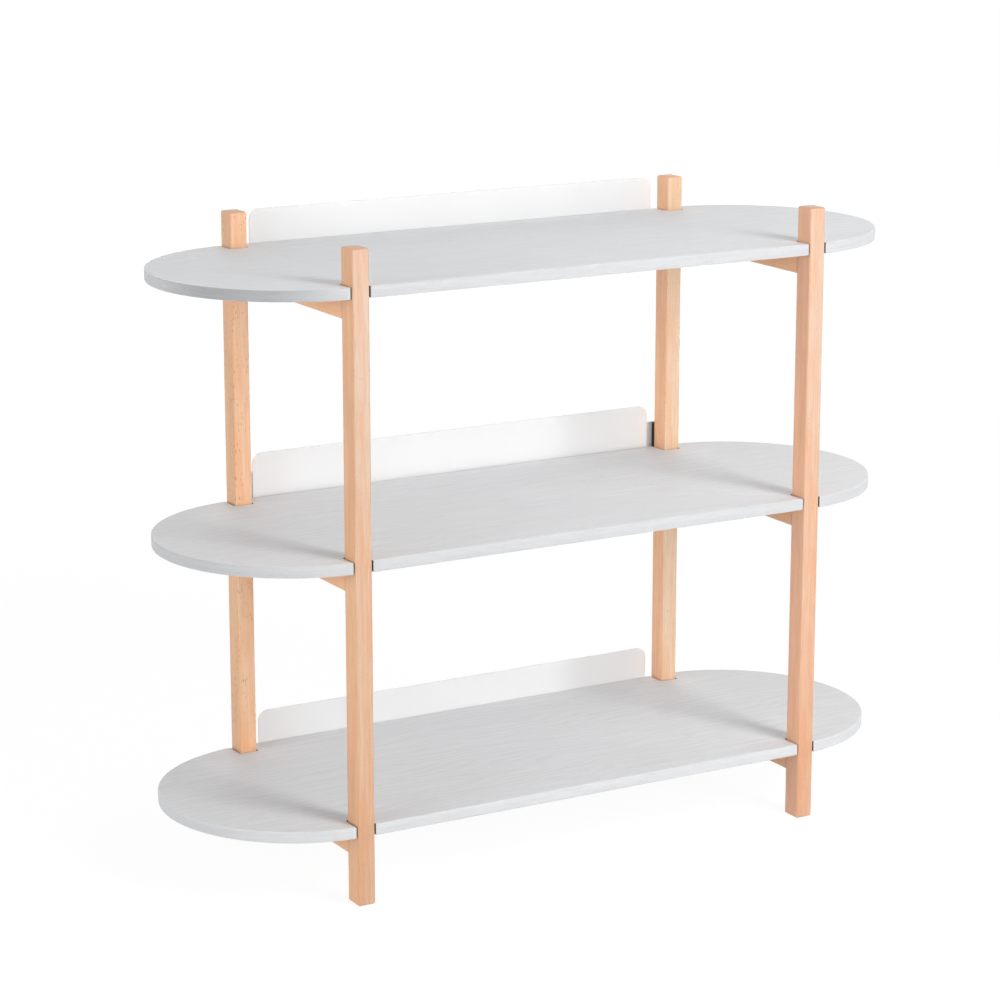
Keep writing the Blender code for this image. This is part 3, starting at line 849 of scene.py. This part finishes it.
def place_pin(pin, node, material):
    """Turns the pin from standing upright to its node's direction and sets its head on its seat."""
    low, high = (Vector(corner) for corner in BOX[node])
    middle = (low + high) / 2
    reach = max(corner.co.z for corner in pin.data.vertices)
    if node.endswith("_bolt"):
        pin.rotation_euler = (math.pi, 0.0, 0.0)
        pin.location = (middle.x, middle.y, low.z + reach)
    else:
        pin.rotation_euler = (-math.pi / 2, 0.0, 0.0)
        pin.location = (middle.x, high.y - reach, middle.z)
    settle(pin)
    dress(pin, material)
    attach(pin, "root")
    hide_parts(node)


def make_pins():
    kinds = (
        (lambda n: n.endswith("_bolt"), BOLT_SHANK, BOLT_HEAD_HEIGHT, STRAIGHT_HEAD),
        (lambda n: "_panel_screw_" in n, PANEL_SCREW_SHANK, PANEL_SCREW_HEAD_HEIGHT, BUTTON_HEAD),
        (lambda n: "_brace_screw_" in n, BRACE_SCREW_SHANK, BRACE_SCREW_HEAD_HEIGHT, BUTTON_HEAD),
    )
    for is_kind, shank, head_height, head in kinds:
        nodes = sorted(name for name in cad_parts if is_kind(name))
        low, high = BOX[nodes[0]]
        head_radius = (high[0] - low[0]) / 2
        length = max(high[1] - low[1], high[2] - low[2]) - head_height
        first = headed_pin("Pattern", head_radius, head_height, shank / 2, length, head)
        for node in nodes:
            pin = first.copy()
            pin.data = first.data.copy()
            pin.name = node.replace("_bolt", "_hex_bolt").replace("_screw", "_button_screw")
            bpy.context.scene.collection.objects.link(pin)
            place_pin(pin, node, ZINC)
        bpy.data.objects.remove(first, do_unlink=True)


def make_nuts():
    """Hex nuts on the middle panel's weld studs, with the edges round their two faces taken down."""
    for i in range(1, 5):
        node = f"panel_nut_{i}"
        low, high = (Vector(corner) for corner in BOX[node])
        height, flats = high.y - low.y, min(high.x - low.x, high.z - low.z)
        nut = cylinder(f"panel_hex_nut_{i}", flats / 2 / math.cos(math.pi / 6), (0, 0, 0), (0, 0, height), 6)
        pick(nut, "EDGE", lambda edge: abs(edge.verts[0].co.z - edge.verts[1].co.z) < TINY)
        bpy.ops.mesh.bevel(offset=NUT_CHAMFER, segments=2)
        leave_edit()
        cut_away(nut, cylinder("Bore", STUD_HOLE / 2, (0, 0, -OVERCUT), (0, 0, height + OVERCUT)))
        smooth(nut, BOARD_SMOOTHING)
        middle = (low + high) / 2
        nut.rotation_euler = (-math.pi / 2, 0.0, 0.0)
        nut.location = (middle.x, low.y, middle.z)
        settle(nut)
        dress(nut, ZINC)
        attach(nut, "root")
        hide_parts(node)


WHITE = (1.0, 1.0, 1.0, 1.0)
FLOOR_SIZE = 60.0
FLOOR_WHITE = (0.80, 0.80, 0.80, 1.0)
FLOOR_SEEN = (0.10, 0.10, 0.10, 1.0)
# The floor's glow near the object and far away, and the distances in metres between which it rises
GLOW_NEAR = 0.93
GLOW_FAR = 0.99
GLOW_RISES = 1.2
GLOW_FULL = 7.0


def make_floor():
    """A white floor. The camera sees it at full white less the object's soft shadow."""
    deselect_all()
    bpy.ops.mesh.primitive_plane_add(size=FLOOR_SIZE, location=(0.0, 0.0, 0.0))
    floor = bpy.context.object
    floor.name = "floor"
    material, build = new_material("white_floor")
    output = material.node_tree.nodes["Material Output"]
    material.node_tree.nodes.remove(build.shader)
    plain = build.add("BsdfDiffuse", Color=FLOOR_WHITE)
    seen = build.add("BsdfDiffuse", Color=FLOOR_SEEN)
    apart = build.add("VectorMath", {"operation": "LENGTH"})
    build.link(build.add("TexCoord").outputs["Object"], apart.inputs[0])
    evened = build.spread(apart.outputs["Value"], GLOW_RISES, GLOW_FULL, GLOW_NEAR, GLOW_FAR)
    glow = build.add("Emission", Color=WHITE, Strength=evened)
    both = build.add("AddShader")
    build.link(seen.outputs[0], both.inputs[0])
    build.link(glow.outputs[0], both.inputs[1])
    path = build.add("LightPath").outputs
    direct = build.math("MAXIMUM", path["Is Camera Ray"], path["Is Glossy Ray"])
    chosen = build.add("MixShader", Fac=direct)
    build.link(plain.outputs[0], chosen.inputs[1])
    build.link(both.outputs[0], chosen.inputs[2])
    build.link(chosen.outputs[0], output.inputs["Surface"])
    dress(floor, material)


AMBIENT = 0.252


def make_world():
    """Even light from all round, and plain white where the camera or a reflection looks past everything."""
    world = bpy.data.worlds.new("studio")
    bpy.context.scene.world = world
    world.use_nodes = True
    build = Nodes(world.node_tree)
    output = world.node_tree.nodes["World Output"]
    even = world.node_tree.nodes["Background"]
    even.inputs["Color"].default_value = WHITE
    even.inputs["Strength"].default_value = AMBIENT
    white = build.add("Background", Color=WHITE, Strength=1.0)
    path = build.add("LightPath").outputs
    direct = build.math("MAXIMUM", path["Is Camera Ray"], path["Is Glossy Ray"])
    direct = build.math("MAXIMUM", direct, path["Is Transmission Ray"])
    chosen = build.add("MixShader", Fac=direct)
    build.link(even.outputs[0], chosen.inputs[1])
    build.link(white.outputs[0], chosen.inputs[2])
    build.link(chosen.outputs[0], output.inputs["Surface"])


# Every lamp faces the studio's middle; each row is a place, a width, a height and a power in watts
STUDIO_MIDDLE = (0.0, 0.0, 0.5)
LAMPS = (
    ("key_softbox", (1.05, -3.15, 1.60), 1.15, 2.8, 102.0),
    ("front_wall", (-1.1, -6.1, 2.2), 5.4, 3.6, 28.0),
    ("left_wall", (-12.2, -1.8, 2.2), 10.8, 4.2, 930.0),
    ("right_wall", (5.0, 0.6, 2.6), 4.5, 3.0, 72.0),
    ("back_wall", (1.1, 5.4, 2.4), 7.2, 4.3, 55.0),
    ("overhead", (0.0, 0.0, 5.0), 4.5, 4.5, 25.0),
)
# Kept out of reflections, because from the right it would glare in the shelves' tops
UNMIRRORED = ("left_wall",)


def make_lamps():
    for name, place, width, height, power in LAMPS:
        light = bpy.data.lights.new(name, "AREA")
        light.shape = "RECTANGLE"
        light.size = width
        light.size_y = height
        light.energy = power
        lamp = bpy.data.objects.new(name, light)
        lamp.location = place
        lamp.rotation_euler = (Vector(STUDIO_MIDDLE) - Vector(place)).to_track_quat("-Z", "Y").to_euler()
        lamp.visible_camera = False
        lamp.visible_glossy = name not in UNMIRRORED
        bpy.context.scene.collection.objects.link(lamp)


def make_camera():
    lens = bpy.data.cameras.new("camera")
    lens.sensor_width = CAMERA_SENSOR
    lens.lens = CAMERA_LENS
    camera = bpy.data.objects.new("camera", lens)
    camera.location = CAMERA_PLACE
    camera.rotation_euler = (math.pi / 2 - CAMERA_PITCH, 0.0, -CAMERA_YAW)
    bpy.context.scene.collection.objects.link(camera)
    bpy.context.scene.camera = camera


make_camera()
make_world()
make_lamps()
make_floor()
make_posts()
dress_kept_nodes()
for shelf_level in LEVELS:
    make_shelf(shelf_level)
make_pins()
make_nuts()
bpy.context.scene.view_settings.view_transform = "Standard"
